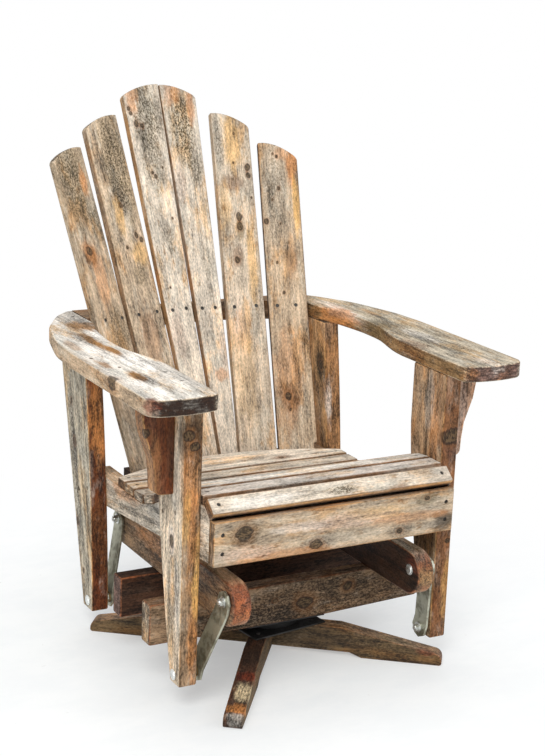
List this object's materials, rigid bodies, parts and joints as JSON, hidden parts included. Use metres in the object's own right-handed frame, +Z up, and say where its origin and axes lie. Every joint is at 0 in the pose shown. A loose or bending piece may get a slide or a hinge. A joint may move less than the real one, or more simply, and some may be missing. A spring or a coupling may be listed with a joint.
{
  "type": "swivel glider armchair",
  "caption": "Slatted wooden garden armchair with a fanned high back and wide arms, hung from steel links on a frame that swivels over crossed feet.",
  "frame": {"origin": "middle of the whole outline, at floor level", "axes": "+X to the viewer's right when the chair is seen from the front, +Y to the back of the chair, +Z up"},
  "size_m": [0.816, 0.9428, 1.1094],
  "materials": {
    "foot_wood": "worn dark stain, peeled in places",
    "frame_wood": "worn dark stain",
    "leg_wood": "weathered cedar, grey and orange-brown",
    "seat_wood": "bleached, bare grain",
    "back_wood": "weathered, mottled grey and tan",
    "arm_wood": "bleached white-grey, bare grain",
    "black_plate": "black zinc, bright edges",
    "link_steel": "dull olive-grey zinc plate",
    "pivot_steel": "bright zinc plate",
    "screw_steel": "dull grey, oxidised",
    "bushing_brass": "oiled sintered bronze"
  },
  "bodies": {
    "base": {"foot_beam_a": "foot_wood", "foot_beam_b": "foot_wood", "swivel_lower_plate": "black_plate", "swivel_balls": "screw_steel", "swivel_hub": "screw_steel", "base_screws": "screw_steel"},
    "glider_frame": {"swivel_upper_plate": "black_plate", "cross_beam_front": "frame_wood", "cross_beam_rear": "frame_wood", "side_rail_left": "frame_wood", "side_rail_right": "frame_wood", "frame_screws": "screw_steel", "plate_screws": "screw_steel", "upper_pivot_bolts": "pivot_steel", "upper_pivot_nuts": "pivot_steel"},
    "front_links": {"front_link_left": "link_steel", "front_link_right": "link_steel", "front_link_bushings": "bushing_brass"},
    "rear_links": {"rear_link_left": "link_steel", "rear_link_right": "link_steel", "rear_link_bushings": "bushing_brass"},
    "chair": {"front_leg_left": "leg_wood", "front_leg_right": "leg_wood", "rear_leg_left": "leg_wood", "rear_leg_right": "leg_wood", "seat_rail_left": "leg_wood", "seat_rail_right": "leg_wood", "apron": "leg_wood", "nose_slat": "seat_wood", "seat_slat_1": "seat_wood", "seat_slat_2": "seat_wood", "seat_slat_3": "seat_wood", "seat_slat_4": "seat_wood", "seat_slat_5": "seat_wood", "seat_slat_6": "seat_wood", "seat_slat_7": "seat_wood", "seat_slat_8": "seat_wood", "rear_seat_slat": "seat_wood", "back_slat_1": "back_wood", "back_slat_2": "back_wood", "back_slat_3": "back_wood", "back_slat_4": "back_wood", "back_slat_5": "back_wood", "back_slat_6": "back_wood", "upper_back_rail": "back_wood", "lower_back_rail": "frame_wood", "arm_left": "arm_wood", "arm_right": "arm_wood", "bracket_left": "leg_wood", "bracket_right": "leg_wood", "seat_screws": "screw_steel", "back_screws": "screw_steel", "arm_screws": "screw_steel", "leg_screws": "screw_steel", "apron_screws": "screw_steel", "lower_pivot_bolts": "pivot_steel", "lower_pivot_nuts": "pivot_steel", "lower_pivot_spacers": "pivot_steel"}
  },
  "joints": [
    {"name": "swivel", "type": "hinge", "parent": "base", "child": "glider_frame", "pos_m": [0, -0.14924, 0.069], "axis": [0, 0, 1], "continuous": true},
    {"name": "front_link_swing", "type": "hinge", "parent": "glider_frame", "child": "front_links", "pos_m": [0, -0.39554, 0.231], "axis": [1, 0, 0], "range_deg": [-12, 12]},
    {"name": "chair_pivot", "type": "hinge", "parent": "front_links", "child": "chair", "pos_m": [0, -0.34184, 0.074], "axis": [1, 0, 0], "range_deg": [-14.2, 14.2]},
    {"name": "rear_link_swing", "type": "hinge", "parent": "glider_frame", "child": "rear_links", "pos_m": [0, 0.09706, 0.231], "axis": [1, 0, 0], "range_deg": [-11.4, 11.4]}
  ],
  "couplings": [
    {"joint": "chair_pivot", "follows": "front_link_swing", "ratio": -1.1755},
    {"joint": "rear_link_swing", "follows": "front_link_swing", "ratio": 0.9366}
  ]
}
